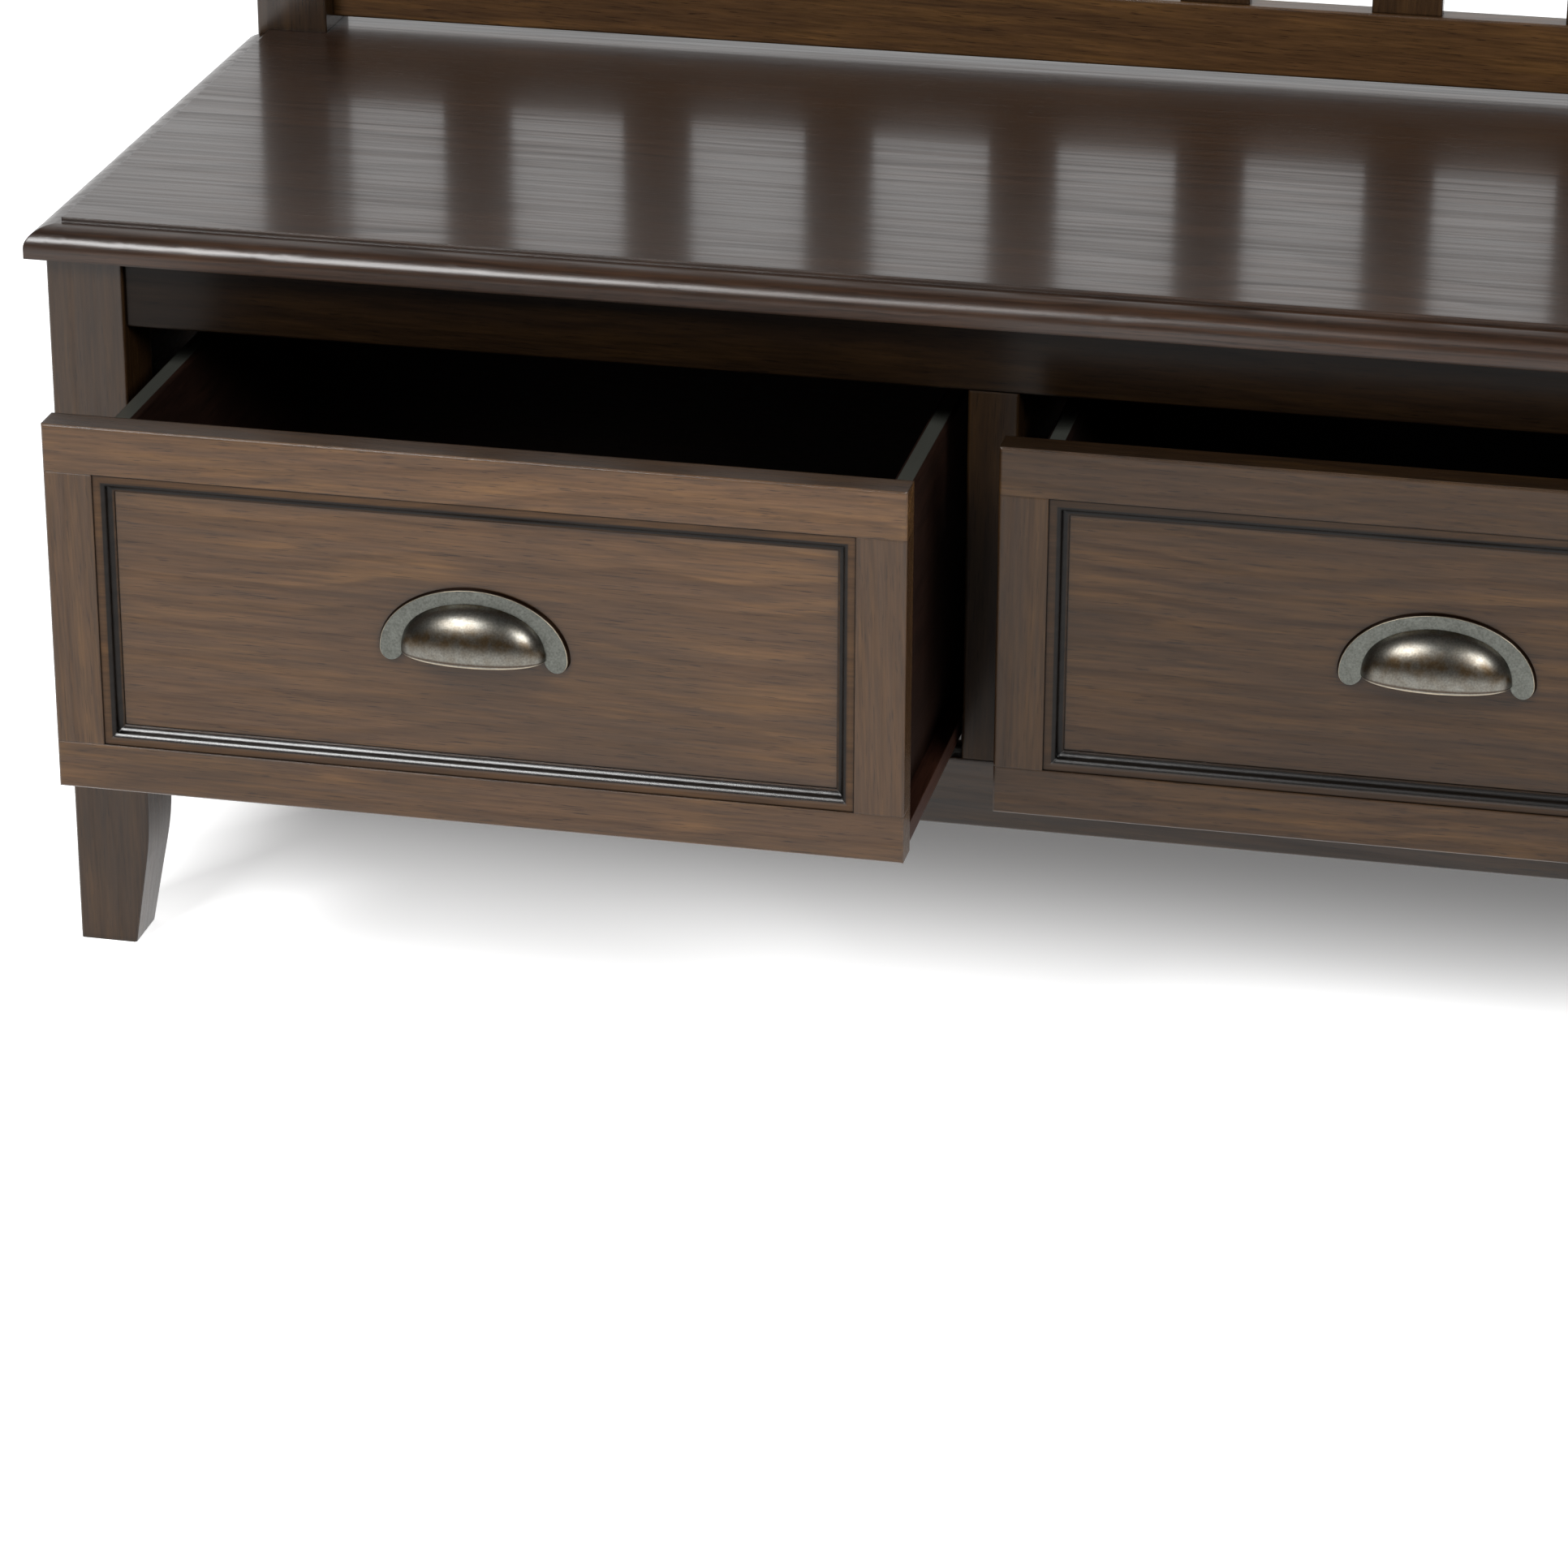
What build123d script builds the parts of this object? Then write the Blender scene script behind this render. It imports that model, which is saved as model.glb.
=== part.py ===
from build123d import *
import math
import os

os.makedirs("parts", exist_ok=True)

# Hall tree: a two-drawer bench whose rear posts carry a slatted back and a hook board.
# Sizes in millimetres, X to the right, Y to the back, Z up from the floor.

# Whole frame
seat_height = 457
overall_height = 1780
frame_width = 1114
frame_depth = 462
leg_width = 46
leg_depth = 46
post_depth = 50

# Tapered feet
foot_height = 70
foot_width = 35
knee_radius = 200

# Seat and cap boards
seat_thickness = 21
cap_thickness = 21
overhang = 10
edge_band = 6
edge_roll = 15
edge_rise = 12
edge_ledge = 3

# Bench front
front_recess = 4
rail_thickness = 20
apron_height = 41.5
bottom_rail_base = 126.5
bottom_rail_height = 42.5
stile_width = 29
tenon_length = 12
tenon_thickness = 10
tenon_shoulder = 6
tenon_end_gap = 1

# Bench sides, back and partition
side_inset = 8
side_thickness = 18
tongue_length = 8
tongue_thickness = 8
rear_rail_inset = 10
back_panel_thickness = 5
partition_thickness = 18
cleat_size = 18
cleat_end_gap = 30

# Slatted back
back_rail_setback = 17
back_rail_thickness = 18
back_rail_height = 43.5
seat_to_back_rail = 6.5
slat_count = 8
slat_width = 43.5
slat_pitch = 119.5
slat_thickness = 12
slat_tenon = 10
hook_board_height = 150
board_ease = 2

# Drawers
drawer_gap = 3.2
front_thickness = 19
frame_bar = 28
panel_depth = 7
panel_thickness = 7
panel_groove = 6
panel_side_play = 1
bead_width = 11
bead_set_back = 0.9
bead_fillet = 3.4
bead_toe = 0.8
side_board = 13
box_set_in = 11.5
box_lift = 3
box_below_top = 25
bottom_thickness = 6
bottom_groove = 5
bottom_lift = 10
stop_gap = 1
stop_length = 60
stop_rise = 30
strip_height = 12
run_clearance = 0.4
runner_height = 24
guide_height = 14
glide_length = 14
glide_thickness = 3
glide_rise = 0.1
left_open = 159.5
right_open = 78.5

# Cup pulls
pull_width = 110
pull_height = 45.5
pull_plate = 2.5
pull_projection = 20
pull_wall = 2
cup_sections = 6
cup_crown_angle = 78
lobe_width = 14.5
cup_top_band = 9.5
pull_rise = 7.5
boss_diameter = 7
boss_play = 0.4
pull_screw_diameter = 4
screw_head_height = 2.5
screw_head_diameter = 9

# Coat hooks
hook_count = 4
hook_pitch = 240
plate_width = 26
plate_height = 88
plate_thickness = 4
upper_reach = 72
upper_rise = 34
lower_reach = 42
lower_rise = 20
prong_diameter = 9
ball_diameter = 17
hook_screw_spacing = 66
hook_screw_diameter = 4
hook_screw_length = 16
hook_screw_play = 0.2

# Places worked out from the sizes above
front_plane = (left_open + pull_projection - front_recess - panel_depth - frame_depth) / 2
back_plane = front_plane + frame_depth
post_front = back_plane - post_depth
leg_back = front_plane + leg_depth
half_width = frame_width / 2
inner_half = half_width - leg_width
seat_underside = seat_height - seat_thickness
apron_bottom = seat_underside - apron_height
bottom_rail_top = bottom_rail_base + bottom_rail_height
face_plane = front_plane + front_recess
face_back = face_plane + rail_thickness
rear_rail_front = back_plane - rear_rail_inset - rail_thickness
side_inner = half_width - side_inset - side_thickness
back_rail_front = post_front + back_rail_setback
back_rail_base = seat_height + seat_to_back_rail
back_rail_top = back_rail_base + back_rail_height
cap_underside = overall_height - cap_thickness
hook_board_base = cap_underside - hook_board_height
slat_front = back_rail_front + (back_rail_thickness - slat_thickness) / 2
slat_tenon_width = slat_width - 2 * tenon_shoulder
slat_centres = [(i - (slat_count - 1) / 2) * slat_pitch for i in range(slat_count)]
strip_bottom = bottom_rail_top + drawer_gap + box_lift
runner_top = strip_bottom - run_clearance


def save(piece, name):
    piece.part.label = name
    export_step(piece.part, f"parts/{name}.step")


def box_between(x, y, z, mode=Mode.ADD):
    """Adds or cuts the box between the given pairs of X, Y and Z in the open part."""
    with Locations(((x[0] + x[1]) / 2, (y[0] + y[1]) / 2, (z[0] + z[1]) / 2)):
        Box(x[1] - x[0], y[1] - y[0], z[1] - z[0], mode=mode)


def add_box(x, y, z):
    box_between(x, y, z)


def cut_box(x, y, z):
    box_between(x, y, z, Mode.SUBTRACT)


# Tenons run along X on the cross rails, each given by its Y and Z spans.
def rail_tenon(front, thickness, base, height):
    setback = (thickness - tenon_thickness) / 2
    y = (front + setback, front + setback + tenon_thickness)
    z = (base + tenon_shoulder, base + height - tenon_shoulder)
    return y, z


leg_tenons = [
    rail_tenon(face_plane, rail_thickness, apron_bottom, apron_height),
    rail_tenon(face_plane, rail_thickness, bottom_rail_base, bottom_rail_height),
]
post_tenons = [
    rail_tenon(rear_rail_front, rail_thickness, apron_bottom, apron_height),
    rail_tenon(rear_rail_front, rail_thickness, bottom_rail_base, bottom_rail_height),
    rail_tenon(back_rail_front, back_rail_thickness, back_rail_base, back_rail_height),
    rail_tenon(back_rail_front, back_rail_thickness, hook_board_base, hook_board_height),
]
panel_tongue_x = (
    side_inner + (side_thickness - tongue_thickness) / 2,
    side_inner + (side_thickness + tongue_thickness) / 2,
)


def mirror_x(pair, side):
    return pair if side > 0 else (-pair[1], -pair[0])


def upright(side, y, top, tapers_back, tenons, groove_y):
    """A leg or post: a square length on a foot tapered on its two inner faces."""
    x = mirror_x((inner_half, half_width), side)
    foot_x = mirror_x((half_width - foot_width, half_width), side)
    foot_y = (y[0], y[0] + foot_width) if tapers_back else (y[1] - foot_width, y[1])
    with BuildPart() as piece:
        with BuildSketch(Plane.XY) as sole:
            with Locations(((foot_x[0] + foot_x[1]) / 2, (foot_y[0] + foot_y[1]) / 2)):
                Rectangle(foot_width, foot_width)
        with BuildSketch(Plane.XY.offset(foot_height)) as knee:
            with Locations(((x[0] + x[1]) / 2, (y[0] + y[1]) / 2)):
                Rectangle(x[1] - x[0], y[1] - y[0])
        loft(ruled=True)
        extrude(knee.sketch, amount=top - foot_height)
        knee_edges = piece.edges().filter_by_position(Axis.Z, foot_height - 1, foot_height + 1)
        fillet(knee_edges.filter_by(Axis.X) + knee_edges.filter_by(Axis.Y), radius=knee_radius)
        chamfer(piece.edges().filter_by(Axis.Z), length=board_ease / 2)
        for tenon_y, tenon_z in tenons:
            mortise_x = mirror_x((inner_half - 1, inner_half + tenon_length + tenon_end_gap), side)
            cut_box(mortise_x, tenon_y, tenon_z)
        cut_box(mirror_x(panel_tongue_x, side), groove_y, (bottom_rail_base, seat_underside))
    return piece


# Front legs and full-height rear posts
for side, word in ((-1, "left"), (1, "right")):
    leg = upright(
        side,
        (front_plane, leg_back),
        seat_underside,
        True,
        leg_tenons,
        (leg_back - tongue_length, leg_back + 1),
    )
    save(leg, f"front_leg_{word}")
    post = upright(
        side,
        (post_front, back_plane),
        cap_underside,
        False,
        post_tenons,
        (post_front - 1, post_front + tongue_length),
    )
    save(post, f"rear_post_{word}")


def moulded_board(base, thickness, front, notch):
    """A board with a rolled, stepped edge on its front and two ends, and a plain back."""
    run = edge_roll + edge_ledge
    half = half_width + overhang
    with BuildPart() as piece:
        # The edge profile runs along the front and turns down both ends with mitred corners.
        with BuildLine() as path:
            Polyline(
                (-half, back_plane + run, base),
                (-half, front, base),
                (half, front, base),
                (half, back_plane + run, base),
            )
        with BuildSketch(Plane((-half, back_plane + run, base), x_dir=(1, 0, 0), z_dir=(0, -1, 0))):
            with BuildLine():
                Line((0, 0), (0, edge_band))
                EllipticalCenterArc((edge_roll, edge_band), edge_roll, edge_rise, 90, arc_size=90)
                Polyline(
                    (edge_roll, edge_band + edge_rise),
                    (run, edge_band + edge_rise),
                    (run, thickness),
                    (2 * run, thickness),
                    (2 * run, 0),
                    (0, 0),
                )
            make_face()
        sweep(path=path.line, transition=Transition.RIGHT)
        add_box((-half + run, half - run), (front + run, back_plane + run), (base, base + thickness))
        cut_box((-half - 1, half + 1), (back_plane, back_plane + 2 * run), (base - 1, base + thickness + 1))
        if notch:
            for side in (-1, 1):
                x = mirror_x((inner_half, half + 1), side)
                cut_box(x, (post_front, back_plane + 1), (base - 1, base + thickness + 1))
    return piece


seat = moulded_board(seat_underside, seat_thickness, front_plane - overhang, True)
save(seat, "seat_top")
cap = moulded_board(cap_underside, cap_thickness, post_front - overhang, False)
save(cap, "top_cap")


def cross_rail(front, thickness, base, height, mortise_z):
    """A rail between the uprights with a stub tenon at each end and slat mortises if asked."""
    tenon_y, tenon_z = rail_tenon(front, thickness, base, height)
    with BuildPart() as piece:
        add_box((-inner_half, inner_half), (front, front + thickness), (base, base + height))
        chamfer(piece.edges().filter_by(Axis.X), length=board_ease / 2)
        add_box((-inner_half - tenon_length, inner_half + tenon_length), tenon_y, tenon_z)
        if mortise_z:
            for centre in slat_centres:
                x = (centre - slat_tenon_width / 2, centre + slat_tenon_width / 2)
                y = (slat_front + tenon_shoulder / 2, slat_front + slat_thickness - tenon_shoulder / 2)
                cut_box(x, y, mortise_z)
    return piece


# Bench rails
save(cross_rail(face_plane, rail_thickness, apron_bottom, apron_height, None), "front_apron")
save(cross_rail(face_plane, rail_thickness, bottom_rail_base, bottom_rail_height, None), "bottom_front_rail")
save(cross_rail(rear_rail_front, rail_thickness, apron_bottom, apron_height, None), "rear_top_rail")
save(cross_rail(rear_rail_front, rail_thickness, bottom_rail_base, bottom_rail_height, None), "rear_bottom_rail")

with BuildPart() as stile:
    add_box((-stile_width / 2, stile_width / 2), (face_plane, face_back), (bottom_rail_top, apron_bottom))
    chamfer(stile.edges().filter_by(Axis.Z), length=board_ease / 2)
save(stile, "centre_stile")

# Bench sides with tongues into leg and post
for side, word in ((-1, "left"), (1, "right")):
    with BuildPart() as side_panel:
        x = mirror_x((side_inner, side_inner + side_thickness), side)
        add_box(x, (leg_back, post_front), (bottom_rail_base, seat_underside))
        tongue_y = (leg_back - tongue_length, post_front + tongue_length)
        add_box(mirror_x(panel_tongue_x, side), tongue_y, (bottom_rail_base, seat_underside))
    save(side_panel, f"side_panel_{word}")

with BuildPart() as back_panel:
    panel_y = (rear_rail_front + rail_thickness, rear_rail_front + rail_thickness + back_panel_thickness)
    add_box((-inner_half, inner_half), panel_y, (bottom_rail_base, seat_underside))
save(back_panel, "back_panel")

with BuildPart() as partition:
    half = partition_thickness / 2
    add_box((-half, half), (face_back, rear_rail_front), (bottom_rail_base, seat_underside))
save(partition, "centre_partition")

with BuildPart() as cleats:
    for side in (-1, 1):
        x = mirror_x((partition_thickness / 2 + cleat_end_gap, inner_half - cleat_end_gap), side)
        add_box(x, (face_back, face_back + cleat_size), (seat_underside - cleat_size, seat_underside))
save(cleats, "seat_cleats")

# Slatted back and hook board
slat_mortise_low = (back_rail_top - slat_tenon - tenon_end_gap, back_rail_top + 1)
slat_mortise_high = (hook_board_base - 1, hook_board_base + slat_tenon + tenon_end_gap)
low_rail = cross_rail(back_rail_front, back_rail_thickness, back_rail_base, back_rail_height, slat_mortise_low)
save(low_rail, "back_lower_rail")

for i, centre in enumerate(slat_centres):
    with BuildPart() as slat:
        x = (centre - slat_width / 2, centre + slat_width / 2)
        add_box(x, (slat_front, slat_front + slat_thickness), (back_rail_top, hook_board_base))
        chamfer(slat.edges().filter_by(Axis.Z), length=board_ease / 2)
        tenon_x = (centre - slat_tenon_width / 2, centre + slat_tenon_width / 2)
        tenon_y = (slat_front + tenon_shoulder / 2, slat_front + slat_thickness - tenon_shoulder / 2)
        add_box(tenon_x, tenon_y, (back_rail_top - slat_tenon, hook_board_base + slat_tenon))
    save(slat, f"back_slat_{i + 1}")

hook_centres = [(i - (hook_count - 1) / 2) * hook_pitch for i in range(hook_count)]
hook_level = hook_board_base + hook_board_height / 2
hook_screw_spots = [
    (centre, hook_level + offset)
    for centre in hook_centres
    for offset in (-hook_screw_spacing / 2, hook_screw_spacing / 2)
]
hook_board = cross_rail(
    back_rail_front, back_rail_thickness, hook_board_base, hook_board_height, slat_mortise_high
)
with BuildPart() as bored_board:
    add(hook_board.part)
    with BuildSketch(Plane.XZ.offset(-back_rail_front)):
        with Locations(*hook_screw_spots):
            Circle(hook_screw_diameter / 2 + hook_screw_play)
    extrude(amount=-hook_screw_length, mode=Mode.SUBTRACT)
save(bored_board, "hook_board")


# A coat hook is one casting: an oblong plate with a long upper and a short lower prong.
def prong(centre, start, reach, rise):
    """Sweeps a round prong that leaves the plate, bends up and ends in a ball."""
    root = (centre, back_rail_front - plate_thickness / 2, start)
    bend = (centre, back_rail_front - reach + rise / 2, start)
    tip = (centre, back_rail_front - reach, start + rise)
    with BuildLine() as path:
        straight = Line(root, bend)
        TangentArc(bend, tip, tangent=straight % 1)
    with BuildSketch(Plane(root, x_dir=(1, 0, 0), z_dir=(0, -1, 0))) as section:
        Circle(prong_diameter / 2)
    sweep(section.sketch, path=path.line)
    with Locations(tip):
        Sphere(ball_diameter / 2)


for i, centre in enumerate(hook_centres):
    with BuildPart() as hook:
        with BuildSketch(Plane.XZ.offset(-back_rail_front)):
            with Locations((centre, hook_level)):
                SlotOverall(plate_height, plate_width, rotation=90)
        extrude(amount=plate_thickness)
        chamfer(hook.faces().sort_by(Axis.Y)[0].edges(), length=plate_thickness / 4)
        prong(centre, hook_level + plate_height / 8, upper_reach, upper_rise)
        prong(centre, hook_level - plate_height / 4, lower_reach, lower_rise)
        with BuildSketch(Plane.XZ.offset(-back_rail_front)):
            with Locations(*[spot for spot in hook_screw_spots if spot[0] == centre]):
                Circle(hook_screw_diameter / 2 + hook_screw_play)
        extrude(amount=plate_thickness, mode=Mode.SUBTRACT)
    save(hook, f"coat_hook_{i + 1}")

with BuildPart() as hook_screws:
    with BuildSketch(Plane.XZ.offset(-back_rail_front)):
        with Locations(*hook_screw_spots):
            Circle(hook_screw_diameter / 2)
    extrude(amount=-hook_screw_length + 1)
    extrude(hook_screws.faces().sort_by(Axis.Y)[0:len(hook_screw_spots)], amount=plate_thickness)
    with BuildSketch(Plane.XZ.offset(-back_rail_front + plate_thickness)):
        with Locations(*hook_screw_spots):
            Circle(hook_screw_diameter)
    extrude(amount=screw_head_height)
save(hook_screws, "hook_screws")


# Drawers stand pulled out as photographed, so each closes by its own opening.
front_base = bottom_rail_top + drawer_gap
front_top = apron_bottom - drawer_gap
side_length = rear_rail_front - stop_gap - face_plane - front_thickness
box_base = front_base + box_lift
box_top = front_top - box_below_top
floor_base = box_base + bottom_lift
floor_top = floor_base + bottom_thickness
lobe_radius = lobe_width / 2
lobe_centre = pull_width / 2 - lobe_radius
pull_base = (front_base + front_top) / 2 + pull_rise - pull_height / 2
cup_level = pull_base + lobe_radius
cup_half_width = pull_width / 2 - lobe_width
cup_height = pull_height - lobe_radius - cup_top_band


def strip_spans(x):
    """The X spans of a drawer's two running strips, between box side and opening."""
    return (x[0] + panel_side_play, x[0] + box_set_in), (x[1] - box_set_in, x[1] - panel_side_play)


def bead_frame(x, z, front):
    """Four mitred lengths of ogee bead round the inside of a drawer front's frame."""
    strips = []
    half_run = (bead_width - bead_fillet) / 2
    half_fall = (panel_depth - bead_set_back - bead_toe) / 2
    middle_level = -bead_set_back - half_fall
    corners = [(x[0], z[0]), (x[1], z[0]), (x[1], z[1]), (x[0], z[1])]
    for i, start in enumerate(corners):
        end = corners[(i + 1) % 4]
        along = Vector(end[0] - start[0], 0, end[1] - start[1])
        length = along.length
        along = along.normalized()
        inward = Vector(-along.Z, 0, along.X)
        with BuildPart() as strip:
            with BuildSketch(Plane((start[0], front, start[1]), x_dir=inward, z_dir=along)) as section:
                with BuildLine():
                    Line((0, -panel_depth), (0, -bead_set_back))
                    Line((0, -bead_set_back), (bead_fillet, -bead_set_back))
                    EllipticalCenterArc((bead_fillet, middle_level), half_run, half_fall, 0, arc_size=90)
                    EllipticalCenterArc((bead_width, middle_level), half_run, half_fall, 180, arc_size=90)
                    Line((bead_width, bead_toe - panel_depth), (bead_width, -panel_depth))
                    Line((bead_width, -panel_depth), (0, -panel_depth))
                make_face()
            extrude(amount=length)
            with BuildSketch(Plane((start[0], front - 1, start[1]), x_dir=along, z_dir=(0, 1, 0))) as mitre:
                with BuildLine():
                    Polyline(
                        (0, 0),
                        (length, 0),
                        (length - bead_width, -bead_width),
                        (bead_width, -bead_width),
                        close=True,
                    )
                make_face()
            extrude(amount=panel_depth + 2, mode=Mode.INTERSECT)
        strips.append(strip.part)
    return strips


def half_dome(spot, half_width, reach, height):
    """Half of a domed cup, lofted through half ellipses that shrink towards its crown."""
    with BuildPart() as dome:
        for i in range(cup_sections):
            turn = math.radians(i * cup_crown_angle / (cup_sections - 1))
            level = spot[2] + height * math.sin(turn) / math.sin(math.radians(cup_crown_angle))
            with BuildSketch(Plane((spot[0], spot[1], level))):
                Ellipse(half_width * math.cos(turn), reach * math.cos(turn))
                with Locations((0, reach)):
                    Rectangle(4 * half_width, 2 * reach, mode=Mode.SUBTRACT)
        loft()
    return dome.part


glide_seats = []
for word, x_opening, opened in (
    ("left", (-inner_half, -stile_width / 2), left_open),
    ("right", (stile_width / 2, inner_half), right_open),
):
    x = (x_opening[0] + drawer_gap, x_opening[1] - drawer_gap)
    z = (front_base, front_top)
    front = face_plane - opened
    y = (front, front + front_thickness)
    sight_x = (x[0] + frame_bar, x[1] - frame_bar)
    sight_z = (z[0] + frame_bar, z[1] - frame_bar)
    panel_y = (front + panel_depth, front + panel_depth + panel_thickness)
    groove_x = (sight_x[0] - panel_groove, sight_x[1] + panel_groove)
    groove_z = (sight_z[0] - panel_groove, sight_z[1] + panel_groove)
    middle_x = (x[0] + x[1]) / 2
    pull_spots = [(middle_x - lobe_centre, cup_level), (middle_x + lobe_centre, cup_level)]

    for name, span_z, outer in (("top_rail", (sight_z[1], z[1]), -1), ("bottom_rail", (z[0], sight_z[0]), 0)):
        with BuildPart() as front_rail:
            add_box(x, y, span_z)
            face_edges = front_rail.edges().group_by(Axis.Y)[0]
            arris = face_edges.filter_by(Axis.X).sort_by(Axis.Z)[outer]
            chamfer([arris] + face_edges.filter_by(Axis.Z), length=board_ease / 2)
            cut_box(groove_x, panel_y, groove_z)
        save(front_rail, f"{word}_drawer_{name}")

    with BuildPart() as front_stiles:
        for span_x in ((x[0], sight_x[0]), (sight_x[1], x[1])):
            add_box(span_x, y, sight_z)
        uprights = front_stiles.edges().filter_by(Axis.Z).group_by(Axis.Y)[0].sort_by(Axis.X)
        chamfer([uprights[0], uprights[-1]], length=board_ease / 2)
        cut_box(groove_x, panel_y, groove_z)
    save(front_stiles, f"{word}_drawer_stiles")

    with BuildPart() as front_panel:
        panel_x = (groove_x[0] + panel_side_play, groove_x[1] - panel_side_play)
        panel_z = (groove_z[0] + panel_side_play, groove_z[1] - panel_side_play)
        add_box(panel_x, panel_y, panel_z)
        with BuildSketch(Plane.XZ.offset(-panel_y[0])):
            with Locations(*pull_spots):
                Circle((boss_diameter + boss_play) / 2)
        extrude(amount=-panel_thickness, mode=Mode.SUBTRACT)
    save(front_panel, f"{word}_drawer_panel")

    with BuildPart() as bead:
        add(bead_frame(sight_x, sight_z, front))
    save(bead, f"{word}_drawer_bead")

    # Drawer box behind the front
    box_y = (y[1], y[1] + side_length)
    inside_x = (x[0] + box_set_in + side_board, x[1] - box_set_in - side_board)
    floor_x = (inside_x[0] - bottom_groove, inside_x[1] + bottom_groove)
    side_spans = (
        ("left_side", (x[0] + box_set_in, inside_x[0])),
        ("right_side", (inside_x[1], x[1] - box_set_in)),
    )
    for name, span_x in side_spans:
        with BuildPart() as box_side:
            add_box(span_x, box_y, (box_base, box_top))
            chamfer(box_side.edges().filter_by(Axis.Y).group_by(Axis.Z)[-1], length=board_ease)
            cut_box(floor_x, box_y, (floor_base, floor_top))
        save(box_side, f"{word}_drawer_{name}")

    with BuildPart() as box_back:
        add_box(inside_x, (box_y[1] - side_board, box_y[1]), (floor_top, box_top))
    save(box_back, f"{word}_drawer_back")

    with BuildPart() as box_floor:
        add_box(floor_x, box_y, (floor_base, floor_top))
    save(box_floor, f"{word}_drawer_floor")

    with BuildPart() as strips:
        for span_x in strip_spans(x):
            add_box(span_x, box_y, (strip_bottom, strip_bottom + strip_height))
    save(strips, f"{word}_drawer_strips")

    # Cup pull: a flat flange with round lobes, and a quarter ellipsoid cup open below
    wall_x = cup_half_width - pull_wall
    wall_z = cup_height - pull_wall
    wall_y = pull_projection - pull_wall
    cup_spot = (middle_x, panel_y[0], cup_level)
    outer_cup = half_dome(cup_spot, cup_half_width, pull_projection, cup_height)
    inner_cup = half_dome(cup_spot, wall_x, wall_y, wall_z)
    with BuildPart() as pull:
        with BuildSketch(Plane.XZ.offset(-panel_y[0])):
            with Locations((middle_x, cup_level)):
                Ellipse(pull_width / 2, pull_height - lobe_radius)
                Ellipse(wall_x, wall_z, mode=Mode.SUBTRACT)
            with Locations((middle_x, cup_level - pull_height)):
                Rectangle(2 * pull_width, 2 * pull_height, mode=Mode.SUBTRACT)
            with Locations(*pull_spots):
                Circle(lobe_radius)
        extrude(amount=pull_plate)
        add(outer_cup)
        add(inner_cup, mode=Mode.SUBTRACT)
        with BuildSketch(Plane.XZ.offset(-panel_y[0])):
            with Locations(*pull_spots):
                Circle(boss_diameter / 2)
        extrude(amount=-(panel_thickness - panel_side_play))
        with BuildSketch(Plane.XZ.offset(-panel_y[1])):
            with Locations(*pull_spots):
                Circle((pull_screw_diameter + boss_play) / 2)
        extrude(amount=panel_thickness, mode=Mode.SUBTRACT)
    save(pull, f"{word}_drawer_pull")

    with BuildPart() as pull_screws:
        with BuildSketch(Plane.XZ.offset(-panel_y[1])):
            with Locations(*pull_spots):
                Circle(pull_screw_diameter / 2)
        extrude(amount=panel_thickness - panel_side_play)
        with BuildSketch(Plane.XZ.offset(-panel_y[1])):
            with Locations(*pull_spots):
                Circle(screw_head_diameter / 2)
        extrude(amount=-screw_head_height)
    save(pull_screws, f"{word}_drawer_pull_screws")

    # Fixed runners under the strips, each with a guide outside its strip
    low_strip, high_strip = strip_spans(x)
    outer_y = (leg_back, post_front)
    inner_y = (face_back, rear_rail_front)
    if word == "left":
        walls = ((-side_inner, outer_y), (-partition_thickness / 2, inner_y))
    else:
        walls = ((partition_thickness / 2, inner_y), (side_inner, outer_y))
    base_z = (runner_top - runner_height, runner_top)
    guide_z = (runner_top, runner_top + guide_height)
    shoes = [
        (low_strip, (walls[0][1][0], walls[0][1][0] + glide_length)),
        (high_strip, (walls[1][1][0], walls[1][1][0] + glide_length)),
    ]
    glide_seats.extend(shoes)
    with BuildPart() as runners:
        add_box((walls[0][0], low_strip[1]), walls[0][1], base_z)
        add_box((walls[0][0], low_strip[0] - run_clearance), walls[0][1], guide_z)
        add_box((high_strip[0], walls[1][0]), walls[1][1], base_z)
        add_box((high_strip[1] + run_clearance, walls[1][0]), walls[1][1], guide_z)
        for span_x, span_y in shoes:
            cut_box(span_x, span_y, (runner_top - glide_thickness, runner_top))
    save(runners, f"{word}_drawer_runners")

with BuildPart() as stops:
    for side in (-1, 1):
        centre = side * (inner_half + stile_width / 2) / 2
        span_x = (centre - stop_length / 2, centre + stop_length / 2)
        span_z = (bottom_rail_top, floor_top + stop_rise)
        add_box(span_x, (rear_rail_front, rear_rail_front + rail_thickness), span_z)
save(stops, "drawer_stops")

with BuildPart() as glides:
    for span_x, span_y in glide_seats:
        add_box(span_x, span_y, (runner_top - glide_thickness, runner_top + glide_rise))
save(glides, "nylon_glides")
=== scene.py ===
import math
import bpy
import numpy as np
from mathutils import Matrix, Vector


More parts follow.
